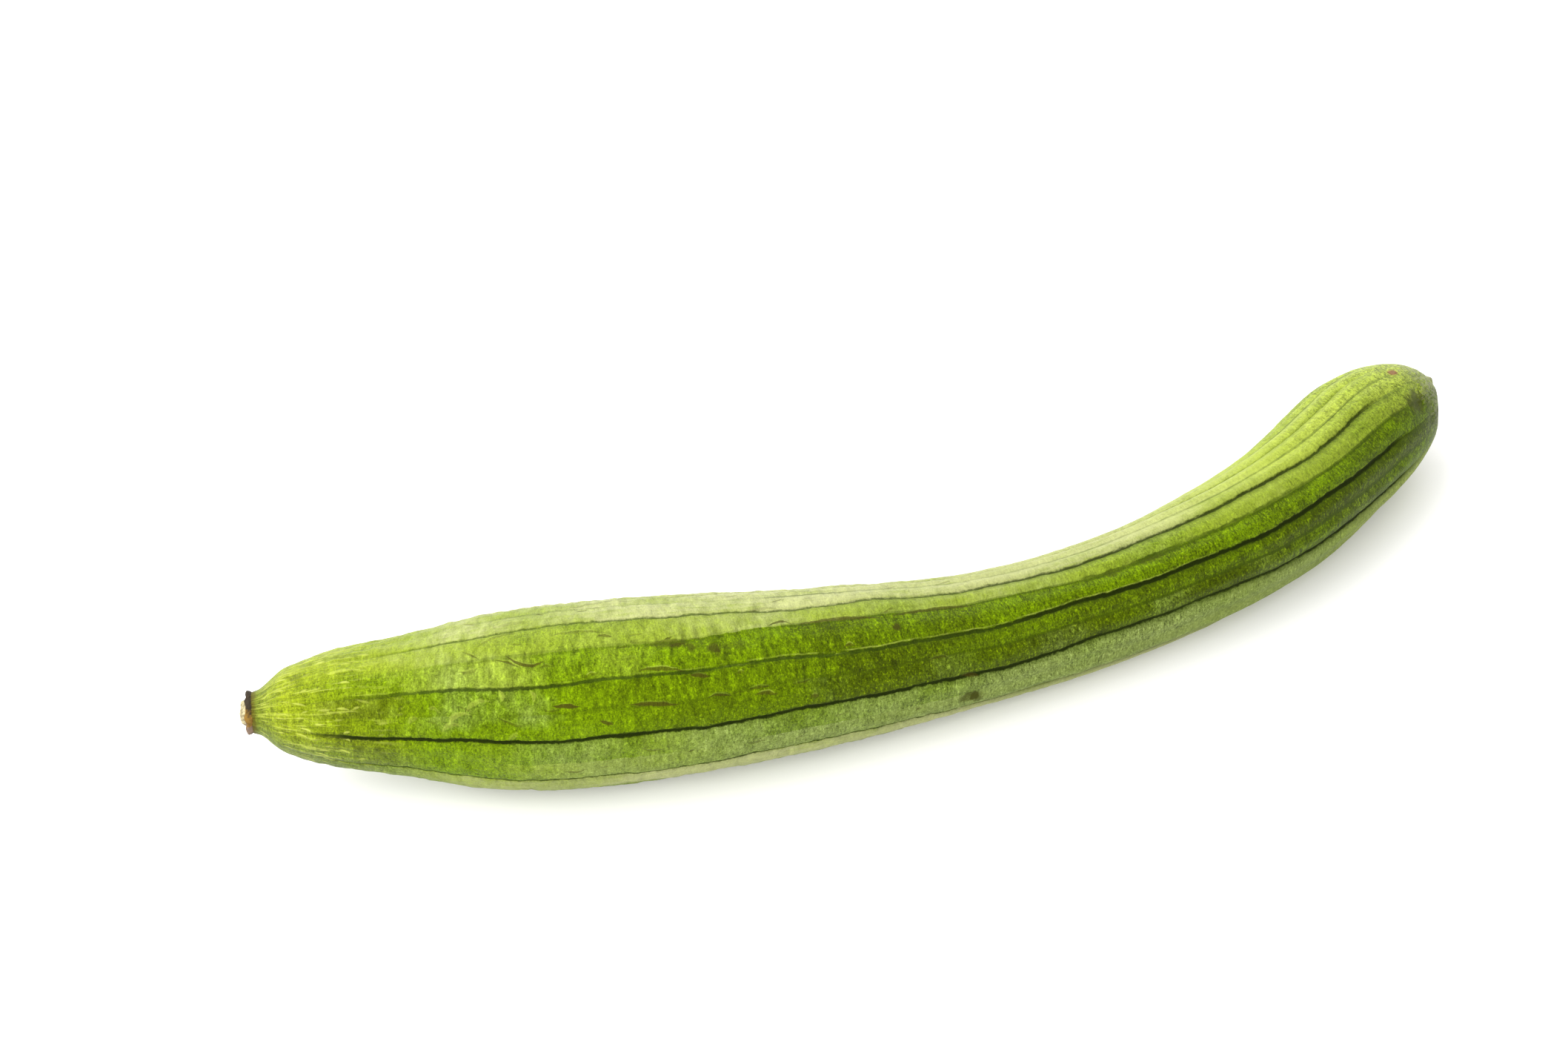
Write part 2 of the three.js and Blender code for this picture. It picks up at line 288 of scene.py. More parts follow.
def skin_over_rings(name, rings, start_point, end_point, attributes):
    """A closed mesh over rings of points, with named values at its vertices."""
    count, sides = rings.shape[:2]
    points = np.concatenate([[start_point], rings.reshape(-1, 3), [end_point]])
    ring, side = np.meshgrid(np.arange(count - 1), np.arange(sides), indexing="ij")
    beside = (side + 1) % sides
    corners = [ring * sides + side, (ring + 1) * sides + side]
    corners += [(ring + 1) * sides + beside, ring * sides + beside]
    quads = 1 + np.stack(corners, axis=-1).reshape(-1, 4)
    around = np.arange(sides)
    last = 1 + (count - 1) * sides
    fan_in = [(0, 1 + a, 1 + (a + 1) % sides) for a in around]
    fan_out = [(len(points) - 1, last + (a + 1) % sides, last + a) for a in around]
    mesh = bpy.data.meshes.new(name)
    mesh.from_pydata((points * MM).tolist(), [], quads.tolist() + fan_in + fan_out)
    for key, values in attributes.items():
        ends = [values[0].mean(axis=0)], [values[-1].mean(axis=0)]
        full = np.concatenate([ends[0], values.reshape(-1, 3), ends[1]])
        layer = mesh.attributes.new(key, "FLOAT_VECTOR", "POINT")
        layer.data.foreach_set("vector", full.astype(np.float32).ravel())
    mesh.shade_smooth()
    mesh.validate()
    piece = bpy.data.objects.new(name, mesh)
    bpy.context.scene.collection.objects.link(piece)
    return piece


# ---------------------------------------- the fruit's skin

def ring_places():
    """Stations and radii of all the fruit's rings, from the stalk to inside the scar."""
    neck = NECK_LENGTH * np.linspace(0, 1, NECK_RINGS, endpoint=False) ** NECK_CROWDING
    cap_start = FRUIT_LENGTH - CAP_LENGTH
    body = np.linspace(NECK_LENGTH, cap_start, BODY_RINGS, endpoint=False)
    angle = np.linspace(0, math.pi / 2, CAP_RINGS, endpoint=False)
    cap = cap_start + CAP_LENGTH * np.sin(angle)
    along = np.concatenate([neck, body])
    scar = np.array(SCAR_PROFILE)
    stations = np.concatenate([along, cap, FRUIT_LENGTH + scar[:, 1]])
    radii = np.concatenate([body_radius(along), body_radius(cap) * np.cos(angle), scar[:, 0]])
    return stations, radii


def vein_turns(station, radius):
    """Where the ten veins are at each station, with their small wanderings."""
    twist = TAIL_TWIST * smoothstep(station, TWIST_FROM, TWIST_TO)
    slip = smoothstep(station, SLIP_FROM, SLIP_TO)
    calm = smoothstep(station, *WANDER_STARTS) * smoothstep(radius, *WANDER_FORMS)
    turns = []
    for base, slips in zip(VEIN_TURNS, VEIN_SLIPS):
        wander = 0
        for length, size in WANDERINGS:
            wander = wander + size * np.sin(2 * math.pi * (station / length + draw.random()))
        turns.append(base + slips * slip + twist + np.degrees(calm * wander / radius))
    turns.append(turns[0] + 360)
    return np.stack(turns, axis=1)


def panel_fractions(width):
    """How far each column is across its panel, for panels of these widths in millimetres."""
    near = [np.minimum(place / width, most) for place, most in NEAR_VEIN]
    steps = (np.arange(ACROSS_PANEL) + 1) / (ACROSS_PANEL + 1)
    middle = [mix(near[-1], 1 - near[-1], step) for step in steps]
    far = [1 - fraction for fraction in reversed(near)]
    return np.stack([0 * width] + near + middle + far, axis=-1)


def evened_fractions(station, fraction):
    """The fractions stretched so that each panel's valley is at one half."""
    share = smoothstep(station, *VALLEYS_SHIFT) * (1 - smoothstep(station, *VALLEYS_RETURN))
    middle = 0.5 + np.array(VALLEY_SHIFTS)[:, None] * share
    above = 0.5 + 0.5 * (fraction - middle) / (1 - middle)
    return np.where(fraction < middle, 0.5 * fraction / middle, above)


def hump(distance, width):
    """1 at no distance, and smoothly down to 0 past the width."""
    return np.exp(-((distance / width) ** 2))


def folds_relief(station, arc):
    """The height of the folds that have places of their own."""
    height = 0.0
    for start, start_turn, end, end_turn, bend, *_ in FOLDS:
        first = np.array([start, arc_at(start, start_turn)])
        last = np.array([end, arc_at(end, end_turn)])
        half = (last - first) / 2
        length = np.hypot(*half)
        offset = np.stack([station, arc], axis=-1) - (first + half)
        along = offset @ half / length**2
        across = offset @ np.array([-half[1], half[0]]) / length + bend * along**2
        trough = TROUGH_DEPTH * hump(across + TROUGH_PLACE, TROUGH_WIDTH)
        faded = 1 - smoothstep(np.abs(along), 0.5, 1.3)
        height = height + faded * (hump(across, FOLD_WIDTH) - trough)
    return FOLD_HEIGHT * height


def vein_relief(station, fraction, distance, places):
    """The low ridges between veins and valleys, the vein grooves and their upper lips."""
    ridge = mix(RIDGE_BELLY, RIDGE_TAIL, smoothstep(station, *RIDGES_RISE))
    ridges = -ridge * np.cos(4 * math.pi * fraction)
    mostly_above = 0.55 + 0.45 * np.sign(np.sin(2 * math.pi * fraction))
    broken = 0.6 + 0.8 * lumps(places * [1, 0.3, 0.3], LIP_BREAK_SIZE, 11)
    lip = LIP_HEIGHT * hump(distance - LIP_PLACE, LIP_WIDTH) * mostly_above * broken
    return ridges + lip - GROOVE_DEPTH * hump(distance, GROOVE_WIDTH)


def swellings_and_wrinkles(station, places):
    """The skin's unevenness, which is stronger on the belly."""
    belly = 1 - smoothstep(station, *BELLY_FADES)
    swellings = SWELL_HEIGHT * lumps(places, SWELL_SIZE, 1)
    bumps = (BUMP_HEIGHT + BELLY_BUMPS * belly) * lumps(places, BUMP_SIZE, 2)
    crimped = lumps(places * [2, 1, 1], WRINKLE_SIZE, 3)
    return swellings + bumps + (WRINKLE_HEIGHT + BELLY_WRINKLES * belly) * crimped


def hollows(station, radius, arc):
    """The depth of the dimple round the blossom scar and of the small dents."""
    on_cap = station > FRUIT_LENGTH - CAP_LENGTH
    depth = DIMPLE_DEPTH * hump(radius - DIMPLE_RADIUS, DIMPLE_WIDTH) * on_cap
    for place, turn, size, dent_depth in DENTS:
        away = np.hypot(station - place, arc - arc_at(place, turn))
        depth = depth + dent_depth * hump(away, size)
    return depth


def skin_relief(station, radius, fraction, distance, places, arc):
    """How far the skin stands off its plain round shape, in millimetres."""
    strength = smoothstep(station, *RELIEF_STARTS) * smoothstep(radius, *VEINS_FORM)
    strength = strength * (1 - CALM_AT_TIP * smoothstep(station, *CALM_TIP))
    relief = strength * vein_relief(station, fraction, distance, places)
    relief = relief + swellings_and_wrinkles(station, places) * smoothstep(radius, *SKIN_FORMS)
    furrows = FURROW_HEIGHT * np.sin(np.radians(FURROW_WAVE * places[..., 1]))
    relief = relief + furrows * (1 - smoothstep(station, *FURROWS_END))
    relief = relief + folds_relief(station, arc)
    at_scar = station > FRUIT_LENGTH - 0.3
    rough_edge = ROUGH_EDGE_HEIGHT * lumps(places, ROUGH_EDGE_SIZE, 5) * at_scar
    return relief - hollows(station, radius, arc) + rough_edge


def make_fruit():
    stations, radii = ring_places()
    turns = vein_turns(stations, radii)
    panels = np.diff(turns, axis=1)
    width = np.radians(panels) * radii[:, None]
    fraction = panel_fractions(width)
    turn = turns[:, :-1, None] + panels[..., None] * fraction
    station = np.broadcast_to(stations[:, None, None], turn.shape)
    radius = np.broadcast_to(radii[:, None, None], turn.shape)
    distance = np.minimum(fraction, 1 - fraction) * width[..., None]
    evened = evened_fractions(station, fraction)
    unbent = [station, -np.cos(np.radians(turn)) * radius, np.sin(np.radians(turn)) * radius]
    unbent = np.stack(unbent, axis=-1)
    arc = np.radians((turn + 90) % 360) * radius
    relief = skin_relief(station, radius, evened, distance, unbent, arc)
    skin = points_at(station, turn, radius + relief)
    beyond = np.maximum(skin[..., 0] - FLAT_SIDE, 0)
    skin[..., 0] = skin[..., 0] - beyond**2 / (beyond + FLAT_ROUNDING)
    tone = [panel_levels(stations, turn.shape, TONES[half::2], TONE_DRIFT) for half in (0, 1)]
    bloom = [panel_levels(stations, turn.shape, BLOOMS[half::2], BLOOM_DRIFT) for half in (0, 1)]
    in_tail = smoothstep(station, *VEINS_CHANGE)
    nearest = (np.arange(len(VEINS))[:, None] + (fraction > 0.5)) % len(VEINS)
    veins = np.array(VEINS)[nearest]
    vein_width = mix(veins[..., 0], veins[..., 1], in_tail)
    vein_dark = mix(veins[..., 2], veins[..., 3], in_tail)
    vein_lip = np.array(VEIN_LIPS)[nearest]
    flow = np.stack([distance, np.sin(2 * math.pi * evened), np.cos(2 * math.pi * evened)], -1)
    shape = (len(stations), -1, 3)
    start = points_at(np.array([0.0]), np.array([0.0]), np.array([0.0]))[0]
    end = points_at(np.array([FRUIT_LENGTH + SCAR_CENTRE]), np.array([0.0]), np.array([0.0]))[0]
    attributes = {"unbent": unbent.reshape(shape), "flow": flow.reshape(shape)}
    attributes["tones"] = np.stack([*tone, arc], axis=-1).reshape(shape)
    attributes["blooms"] = np.stack([*bloom, 0 * arc], axis=-1).reshape(shape)
    attributes["veins"] = np.stack([vein_width, vein_dark, vein_lip], axis=-1).reshape(shape)
    return skin_over_rings("gourd_fruit", skin.reshape(shape), start, end, attributes)


def panel_levels(stations, shape, rows, drift):
    """A level for each panel at each station, with a slow drift of its own."""
    levels = np.zeros(shape)
    for panel, row in enumerate(rows):
        wave = np.sin(2 * math.pi * (stations / draw.uniform(*DRIFT_LENGTHS) + draw.random()))
        level = smooth_through(list(zip(TONE_STATIONS, row)), stations) + drift * wave
        levels[:, panel] = level[:, None]
    return levels


# ---------------------------------------- shader arithmetic

class Wire:
    """A value on its way through a material. Arithmetic on it adds the Math nodes."""

    def __init__(self, finish, socket):
        self.finish = finish
        self.socket = socket

    def _math(self, operation, *values):
        return self.finish.add("ShaderNodeMath", {"operation": operation}, dict(enumerate(values)))

    def __add__(self, other):
        return self._math("ADD", self, other)

    def __sub__(self, other):
        return self._math("SUBTRACT", self, other)

    def __rsub__(self, other):
        return self._math("SUBTRACT", other, self)

    def __mul__(self, other):
        return self._math("MULTIPLY", self, other)

    def __truediv__(self, other):
        return self._math("DIVIDE", self, other)

    __radd__ = __add__
    __rmul__ = __mul__

    def size(self):
        return self._math("ABSOLUTE", self)

    def above(self, other):
        """The greater of the two."""
        return self._math("MAXIMUM", self, other)

    def steps(self, low, high):
        """0 below low and 1 above high, smooth between them."""
        values = {0: self, 1: low, 2: high, 3: 0.0, 4: 1.0}
        return self.finish.add("ShaderNodeMapRange", {"interpolation_type": "SMOOTHSTEP"}, values)


class Finish:
    """One material and the few ways its nodes are made."""

    def __init__(self, name):
        self.material = bpy.data.materials.new(name)
        self.material.use_nodes = True
        self.tree = self.material.node_tree
        self.tree.nodes.clear()

    def add(self, kind, settings=None, sockets=None, out=0):
        node = self.tree.nodes.new(kind)
        for key, value in (settings or {}).items():
            setattr(node, key, value)
        for key, value in (sockets or {}).items():
            if isinstance(value, Wire):
                self.tree.links.new(value.socket, node.inputs[key])
            else:
                node.inputs[key].default_value = value
        return Wire(self, node.outputs[out])

    def attribute(self, name):
        return self.add("ShaderNodeAttribute", {"attribute_name": name}, out="Vector")

    def split(self, vector):
        return [
            self.add("ShaderNodeSeparateXYZ", sockets={0: vector}, out=axis) for axis in range(3)
        ]

    def stretch(self, vector, factors):
        return self.add("ShaderNodeVectorMath", {"operation": "MULTIPLY"}, {0: vector, 1: factors})

    def shift(self, vector, offset):
        return self.add("ShaderNodeVectorMath", {"operation": "ADD"}, {0: vector, 1: offset})

    def join(self, x, y, z):
        return self.add("ShaderNodeCombineXYZ", sockets={0: x, 1: y, 2: z})

    def part_along(self, vector, direction):
        """How far a vector reaches in a direction."""
        settings = {"operation": "DOT_PRODUCT"}
        return self.add("ShaderNodeVectorMath", settings, {0: vector, 1: direction}, out="Value")

    def noise(self, vector, size, detail=2.0, roughness=0.5, out=0):
        """Noise from 0 to 1 with bumps about as wide as size."""
        sockets = {"Vector": vector, "Scale": 1 / size, "Detail": detail, "Roughness": roughness}
        return self.add("ShaderNodeTexNoise", sockets=sockets, out=out)

    def blend(self, colour, other, share):
        """A mix of two colours."""
        settings = {"data_type": "RGBA", "clamp_factor": True}
        return self.add("ShaderNodeMix", settings, {0: share, 6: colour, 7: other}, out=2)

    def scale(self, colour, share):
        """A colour made lighter or darker."""
        settings = {"operation": "SCALE"}
        return self.add("ShaderNodeVectorMath", settings, {0: colour, "Scale": share})

    def shade(self, colour, roughness, height, constants):
        """The finished surface, with its relief in metres."""
        bump = self.add("ShaderNodeBump", sockets={"Distance": 1.0, "Height": height})
        sockets = {"Base Color": colour, "Roughness": roughness, "Normal": bump, **constants}
        surface = self.add("ShaderNodeBsdfPrincipled", sockets=sockets)
        output = self.tree.nodes.new("ShaderNodeOutputMaterial")
        self.tree.links.new(surface.socket, output.inputs["Surface"])
        return self.material


def paint(red, green, blue):
    """A colour written in the usual 0 to 255 steps, for a shader socket."""
    def linear(step):
        share = step / 255
        return share / 12.92 if share <= 0.04045 else ((share + 0.055) / 1.055) ** 2.4
    return (linear(red), linear(green), linear(blue), 1.0)


# ---------------------------------------- colours

BELLY_GREEN = paint(88, 113, 0)
DEEP_GREEN = paint(58, 72, 0)
# The paler greens and the cream of the top panels are partly the skin's colour and partly a
# painted sheen of light from above.
SUNNY_GREEN = paint(124, 140, 42)
CREAM = paint(160, 164, 108)
PALE_LIME = paint(152, 166, 62)
NECK_YELLOW = paint(138, 150, 26)
# The grey of the skin's bloom, also painted low on the front as a reflection of the floor.
BLOOM_AND_REFLECTION_GREY = paint(116, 130, 68)
# Painted shade under the neck and just behind the stalk.
PAINTED_NECK_SHADE = paint(92, 106, 48)
SPECK = paint(134, 158, 10)
PALE_SPECK = paint(164, 172, 124)
# Pale dashes on the neck, and the painted highlight on the folds.
PALE_DASH_AND_HIGHLIGHT = paint(196, 204, 92)
# A dark green for the soft lines, the neck's furrows and the net on the tip, and for painted shade
# in the valleys, below the veins and beside the folds.
SHADE_AND_LINE_GREEN = paint(46, 62, 0)
VEIN_GREEN = paint(56, 76, 18)
VEIN_DARK = paint(14, 24, 4)
# The painted highlight on the lips beside the veins, slits and small marks.
LIP_HIGHLIGHT = paint(170, 184, 78)
SLIT_BROWN = paint(54, 46, 12)
# Bruises, and painted shade round the dents near the tip.
BRUISE_AND_SHADE = paint(54, 56, 10)
SCAR_GREY = paint(140, 142, 108)
STAIN_BROWN = paint(84, 64, 24)
SCAB_RED = paint(134, 84, 56)
SHEEN_TINT = (0.8, 1.0, 0.1, 1.0)
OCHRE = paint(128, 96, 34)
DARK_BARK = paint(50, 40, 26)
GREY_BARK = paint(120, 100, 84)
CORK_SHADE = paint(128, 116, 84)
CORK_PALE = paint(188, 178, 140)
FLOOR_DIM = (0.68, 0.68, 0.68, 1.0)
FLOOR_BRIGHT = (0.72, 0.72, 0.72, 1.0)
FLOOR_GLOW = (1.0, 0.98, 0.94, 1.0)
FLOOR_GLOW_STRENGTH = 0.22
FLOOR_RELIEF = 0.00001


# ---------------------------------------- spots and short marks

def spot(skin, place, ragged, station, turn, half_length, half_width):
    """A soft-edged spot on the skin, from 0 outside to 1 inside."""
    radius = float(skin_radius(station))
    aside, upward = math.cos(math.radians(turn)) * radius, math.sin(math.radians(turn)) * radius
    offset = skin.shift(place, (-station, aside, -upward))
    offset = skin.stretch(offset, (1 / half_length, 1 / half_width, 1 / half_width))
    return 1 - (skin.part_along(offset, offset) + ragged).steps(0.2, 1.3)


def placed_marks(skin, arc_place, marks, lip_side):
    """The lines of marks that have places of their own. Gives each mark and the lip beside it, at
    their strengths.
    """
    dark, pale = 0.0, 0.0
    for start, start_turn, end, end_turn, bend, width, darkness, paleness in marks:
        first = Vector((start, arc_at(start, start_turn), 0.0))
        last = Vector((end, arc_at(end, end_turn), 0.0))
        half = (last - first) / 2
        ahead = half / half.length_squared
        aside = Vector((-half.y, half.x, 0.0)) / half.length
        offset = skin.shift(arc_place, -(first + half))
        along = skin.part_along(offset, ahead)
        square = along * along
        across = skin.part_along(offset, aside) + square * bend
        thick = (1 - square) * width
        inside = 1 - (across.size() - thick).steps(0.15, 0.5)
        beside = 1 - (across - thick - MARK_LIP_PLACE * lip_side).size().steps(0.1, 0.4)
        dark = (inside * darkness).above(dark)
        pale = (beside * (1 - square.steps(0.5, 1.15)) * paleness).above(pale)
    return dark, pale


def scattered_marks(skin, place, cell, spin, rare, width):
    """Short bent marks, at most one to a cell. Gives each mark, its upper lip and its lot."""
    cells = skin.stretch(place, (1 / cell[0], 1 / cell[1], 0.0))
    voronoi = {"voronoi_dimensions": "2D"}
    at = skin.add("ShaderNodeTexVoronoi", voronoi, {"Vector": cells, "Scale": 1.0}, out="Position")
    lots = skin.add("ShaderNodeTexVoronoi", voronoi, {"Vector": cells, "Scale": 1.0}, out="Color")
    offset = skin.add("ShaderNodeVectorMath", {"operation": "SUBTRACT"}, {0: cells, 1: at})
    chance, lot, turned = skin.split(lots)
    sockets = {"Vector": skin.stretch(offset, (*cell, 0.0)), "Angle": (turned - 0.5) * spin}
    rotated = skin.add("ShaderNodeVectorRotate", {"rotation_type": "Z_AXIS"}, sockets)
    ahead, above, _ = skin.split(rotated)
    above = above + ahead * ahead * (lot - 0.5) * 0.16
    reach = ahead.size() / (turned * cell[0] * 0.24 + 1.0)
    thick = (1 - reach * reach) * width
    drawn = chance.steps(rare, rare + 0.03)
    mark = (1 - (above.size() - thick).steps(-0.2, 0.2)) * drawn
    lip = (1 - (above - thick - 0.35).size().steps(0.1, 0.5)) * (1 - reach.steps(0.6, 1.1)) * drawn
    return mark, lip, lot


# ---------------------------------------- the fruit's finish
# Stations between which a quality of the skin fades in, or out, along the fruit. Where there
# are two pairs, it fades in over the first and out over the second.

AT_STALK = (1.5, 4.0)
NECK = (8.0, 66.0)
NEAR_NECK = (20.0, 60.0)
NECK_SHADOW = (4.0, 18.0)
# Painted shade on the front of the neck fades in over the first pair and out over the second.
FRONT_SHADE = (12.0, 30.0), (40.0, 62.0)
# Where a reflection of the floor is painted as more grey low on the front.
LOW_FRONT_REFLECTION = (54.0, 74.0), (86.0, 116.0)
SETTLED = (40.0, 90.0)
CRIMPED = (40.0, 70.0)
BELLY = (160.0, 300.0)
TAIL = (140.0, 330.0)
COARSE = (120.0, 220.0)
TORN_EDGE = (165.0, 185.0), (240.0, 262.0)
UPPER_WAIST = (280.0, 292.0), (372.0, 392.0)
LIMY = (300.0, 390.0)
LATE = (370.0, 440.0)
TIP = (428.0, 466.0)
FUZZY = (460.0, 478.0)
AT_SCAR = (FRUIT_LENGTH - 1.0, FRUIT_LENGTH + 0.6)
VEIN_START, VEIN_END = (22.0, 44.0), (430.0, 448.0)
FAINT_VEIN_START = (18.0, 75.0)
LIP_START, LIP_END = (120.0, 200.0), (300.0, 360.0)

# Angles round the fruit, in radians from its top: less than 0 is the front.
FRONT_EDGE = (-0.5, -0.1)
LOW_FRONT = (-1.3, -1.0)
LOWEST_LINE = (-1.6, -1.4)
SECOND_PANEL = -0.6
UPPER_WAIST_LINE = -0.45
TORN_ABOVE = (22.0, 26.0)  # millimetres over the middle line

# The sizes of the skin's noises, in millimetres.
PATCH_SIZE, CLOUD_SIZE, JAGGED_SIZE, BREAK_SIZE = 14.0, 4.5, 3.0, 8.0
GRAIN_SIZE, FINE_SIZE, HAIR_SIZE, STREAK_SIZE, SPOKE_SIZE = 1.0, 0.5, 1.1, 1.3, 1.1
RAGGED_SIZE, WOBBLE_SIZE, WRINKLE_NOISE_SIZE = 1.0, 2.2, 3.6
SPOKES_ROUND = 16.0  # how finely the spokes divide the neck

# The length and the width of the cells that scattered marks are drawn in, in millimetres.
DASH_CELL = (6.5, 2.0)
SMALL_CELL = (13.0, 6.0)

# The finish's own relief, in millimetres.
FINE_RELIEF, GRAIN_RELIEF, WRINKLE_RELIEF, SPOKE_RELIEF = 0.12, 0.4, 0.6, 1.4
SMALL_LIP_RELIEF, SMALL_SLIT_RELIEF = 0.25, 0.35
LIP_RELIEF, VEIN_RELIEF, DASH_RELIEF = 0.15, 0.2, 0.25

SKIN_ROUGHNESS = 0.42
SKIN_GLOSS = 0.22
DARKEST_GRAIN = 0.3


class GourdSkin(Finish):
    """The fruit's skin. Each layer takes the colour under it and gives back its own on top."""

    def __init__(self):
        super().__init__("gourd_skin")
        self.unbent = self.attribute("unbent")
        self.station, toward_back, self.upward = self.split(self.unbent)
        self.distance, self.side, self.crest = self.split(self.attribute("flow"))
        self.tone_below, self.tone_above, self.arc = self.split(self.attribute("tones"))
        self.bloom_below, self.bloom_above, _ = self.split(self.attribute("blooms"))
        self.vein_width, self.vein_dark, self.vein_lip = self.split(self.attribute("veins"))
        self.belly = 1 - self.station.steps(*BELLY)
        self.tail = self.station.steps(*TAIL)
        self.near_neck = 1 - self.station.steps(*NEAR_NECK)
        self.settled = self.station.steps(*SETTLED)
        self.late = self.station.steps(*LATE)
        self.tip = self.station.steps(*TIP)
        around = {0: toward_back, 1: self.upward}
        self.angle = self.add("ShaderNodeMath", {"operation": "ARCTAN2"}, around)

        self.patches = self.noise(self.unbent, PATCH_SIZE, 3.0)
        self.clouds = self.drawn_noise((1.3, 0.8, 0.8), CLOUD_SIZE, 3.0, 0.6)
        self.grain = self.drawn_noise((1.2, 0.9, 0.9), GRAIN_SIZE, 4.0, 0.75)
        self.fine = self.noise(self.unbent, FINE_SIZE, 2.0)
        self.hairs = self.drawn_noise((1.6, 0.45, 0.45), HAIR_SIZE, 4.0, 0.75)
        self.streaks = self.drawn_noise((0.12, 1.0, 1.0), STREAK_SIZE, 3.0, 0.65)
        self.spokes = self.spokes_from_stalk(toward_back)
        self.jagged = self.drawn_noise((0.35, 1.0, 1.0), JAGGED_SIZE, 4.0, 0.75) - 0.5
        self.broken = self.drawn_noise((0.3, 1.0, 1.0), BREAK_SIZE, 3.0, 0.6)
        self.ragged = self.drawn_noise((0.45, 1.0, 1.0), RAGGED_SIZE, 3.0, 0.7)

    def drawn_noise(self, factors, size, detail, roughness):
        """Noise in the unbent fruit. A factor under 1 draws it out in that direction."""
        return self.noise(self.stretch(self.unbent, factors), size, detail, roughness)

    def spokes_from_stalk(self, toward_back):
        """Noise in thin rays that run out from the stalk."""
        radial = self.join(0.0, toward_back, self.upward)
        spoke = self.add("ShaderNodeVectorMath", {"operation": "NORMALIZE"}, {0: radial})
        _, across, up = self.split(self.stretch(spoke, (0.0, SPOKES_ROUND, SPOKES_ROUND)))
        return self.noise(self.join(self.station * 0.07, across, up), SPOKE_SIZE, 3.0, 0.6)

    def between(self, start, end):
        """1 along a stretch of the fruit, with its fading in and its fading out."""
        return self.station.steps(*start) * (1 - self.station.steps(*end))

    def near_angle(self, angle, full, none):
        """1 within full radians of an angle, and 0 beyond none."""
        return 1 - (self.angle - angle).size().steps(full, none)

    def greens(self):
        """The skin's colours from deep green to cream and the grey bloom on them, partly painted
        light: paler top panels, painted shade on the front and a painted floor reflection low
        down.
        """
        uneven = self.patches * 0.7 + self.clouds * 0.8 - 0.75
        above = (self.jagged * 0.6 - self.side).steps(-0.05, 0.05)
        facing = 1 - self.angle.steps(*FRONT_EDGE)
        # Painted shade: the front of the neck is made darker and less yellow.
        front_shade = self.between(*FRONT_SHADE) * facing
        tone = self.tone_below + (self.tone_above - self.tone_below) * above + uneven * 0.4
        tone = tone + (self.streaks - 0.5) * tone.steps(0.5, 1.0) * 0.8
        self.tone = tone - front_shade * 0.4
        bloom = self.bloom_below + (self.bloom_above - self.bloom_below) * above + uneven * 0.7
        # Painted reflection of the floor: more grey on the low front of the belly.
        floor_reflection = self.between(*LOW_FRONT_REFLECTION) * facing * self.angle.steps(*LOW_FRONT)
        bloom = bloom + floor_reflection * 0.55
        # Painted light: the paler tones of the top panels are partly a sheen of light from above,
        # and the paler low front near the tip is partly light from the floor.
        colour = self.blend(DEEP_GREEN, BELLY_GREEN, self.tone.steps(-0.6, 0.12))
        colour = self.blend(colour, SUNNY_GREEN, self.tone.steps(0.05, 0.6))
        palest = self.blend(CREAM, PALE_LIME, self.station.steps(*LIMY))
        colour = self.blend(colour, palest, self.tone.steps(0.5, 1.0))
        yellowed = (uneven + 0.75) * (1 - self.station.steps(*NECK)) * (1 - front_shade * 0.4)
        colour = self.blend(colour, NECK_YELLOW, yellowed)
        self.bloom_and_reflection = bloom.steps(0.0, 1.0) * (0.9 - self.tone.steps(0.6, 1.0) * 0.5)
        return self.blend(colour, BLOOM_AND_REFLECTION_GREY, self.bloom_and_reflection)

    def painted_neck_shade(self, colour):
        """Painted shade: a greyer green painted under the neck and just behind the stalk."""
        low = (1 - (self.upward - self.spokes * 6.0).steps(-9.0, 3.0)) * self.near_neck
        colour = self.blend(colour, PAINTED_NECK_SHADE, low * 0.8)
        first = 1 - (self.station + self.spokes * 10.0).steps(*NECK_SHADOW)
        return self.blend(colour, PAINTED_NECK_SHADE, first * 0.6)

    def specks_and_grain(self, colour):
        """Pale specks, the wrinkles' light and shade, and the grain."""
        specked = self.grain.steps(0.52, 0.7) * (self.clouds * 0.6 + 0.05)
        specked = specked * (1 - self.tone.steps(0.4, 0.9) * 0.7) * (1 - self.bloom_and_reflection * 0.35)
        colour = self.blend(colour, self.blend(SPECK, PALE_SPECK, self.bloom_and_reflection), specked)
        # Painted light and shade of the wrinkles: the colour is made lighter on one side of each
        # wrinkle and darker on the other, most near the second panel of the belly.
        crimped = self.stretch(self.unbent, (1.0, 0.5, 0.5))
        beside = self.shift(crimped, (1.0, -0.3, 0.4))
        self.wrinkles = self.noise(crimped, WRINKLE_NOISE_SIZE, 3.0, 0.55)
        beyond = self.noise(beside, WRINKLE_NOISE_SIZE, 3.0, 0.55)
        strongest_shading = self.near_angle(SECOND_PANEL, 0.15, 0.6) * self.station.steps(*CRIMPED)
        depth = strongest_shading * self.belly * 1.5 + self.belly * 0.5 + 0.2
        colour = self.scale(colour, (beyond - self.wrinkles) * depth + 1.0)
        contrast = 1.5 - self.tone.steps(0.1, 0.8) * (0.95 - self.late * 0.8) + self.tip * 0.8
        coarse = self.station.steps(*COARSE) * 0.3 + self.tail * 0.35
        contrast = contrast + (1 - self.tone.steps(-0.3, 0.3)) * coarse
        light = self.fine + (self.grain + self.hairs) * 1.3 + self.clouds * 0.5 - 2.05
        return self.scale(colour, (light * contrast + 1.0).above(DARKEST_GRAIN))

